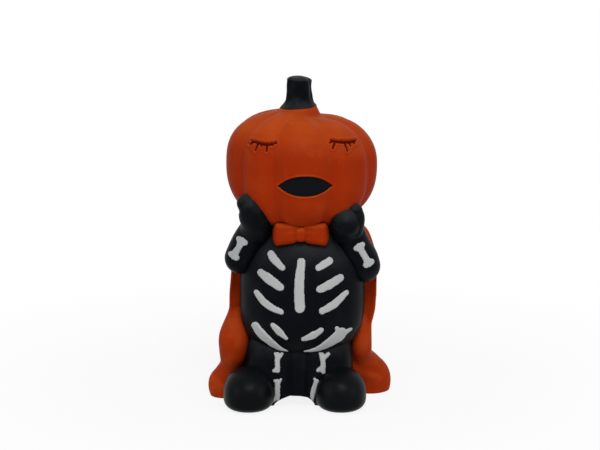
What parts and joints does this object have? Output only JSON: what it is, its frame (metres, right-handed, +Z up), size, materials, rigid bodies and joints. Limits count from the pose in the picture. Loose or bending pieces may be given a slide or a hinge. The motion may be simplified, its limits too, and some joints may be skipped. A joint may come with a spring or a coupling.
{
  "type": "halloween skeleton figure",
  "caption": "Free-standing table figure with a pumpkin head, closed eyes and open mouth, hands on its cheeks, in a skeleton suit with a bow tie and a long cape",
  "frame": {"origin": "middle of the footprint's bounding box, on the plane that the figure stands on", "axes": "+Z up, the figure faces -Y, +X to the viewer's right; left and right in the node names are the viewer's"},
  "size_m": [0.0624, 0.0496, 0.1101],
  "materials": {
    "orange_paint": "satin hand-painted orange, worn lighter on the high edges",
    "black_paint": "satin hand-painted black",
    "white_paint": "matt hand-painted off-white",
    "line_paint": "matt dark brown paint in an engraved line"
  },
  "bodies": {
    "root": {"pumpkin_head": "orange_paint", "stalk": "black_paint", "mouth": "black_paint", "left_eyelid_line": "line_paint", "right_eyelid_line": "line_paint", "torso": "black_paint", "left_arm": "black_paint", "right_arm": "black_paint", "left_hand": "black_paint", "right_hand": "black_paint", "legs": "black_paint", "left_foot": "black_paint", "right_foot": "black_paint", "bow_left_wing": "orange_paint", "bow_right_wing": "orange_paint", "bow_knot": "orange_paint", "cape": "orange_paint", "breastbone": "white_paint", "left_top_rib": "white_paint", "left_middle_rib": "white_paint", "left_bottom_rib": "white_paint", "right_top_rib": "white_paint", "right_middle_rib": "white_paint", "right_bottom_rib": "white_paint", "left_hip_bone": "white_paint", "left_inner_hip_bone": "white_paint", "right_hip_bone": "white_paint", "right_inner_hip_bone": "white_paint", "left_thigh_bone": "white_paint", "left_shin_bone": "white_paint", "right_thigh_bone": "white_paint", "right_shin_bone": "white_paint", "left_arm_bone": "white_paint", "right_arm_bone": "white_paint"}
  },
  "joints": []
}
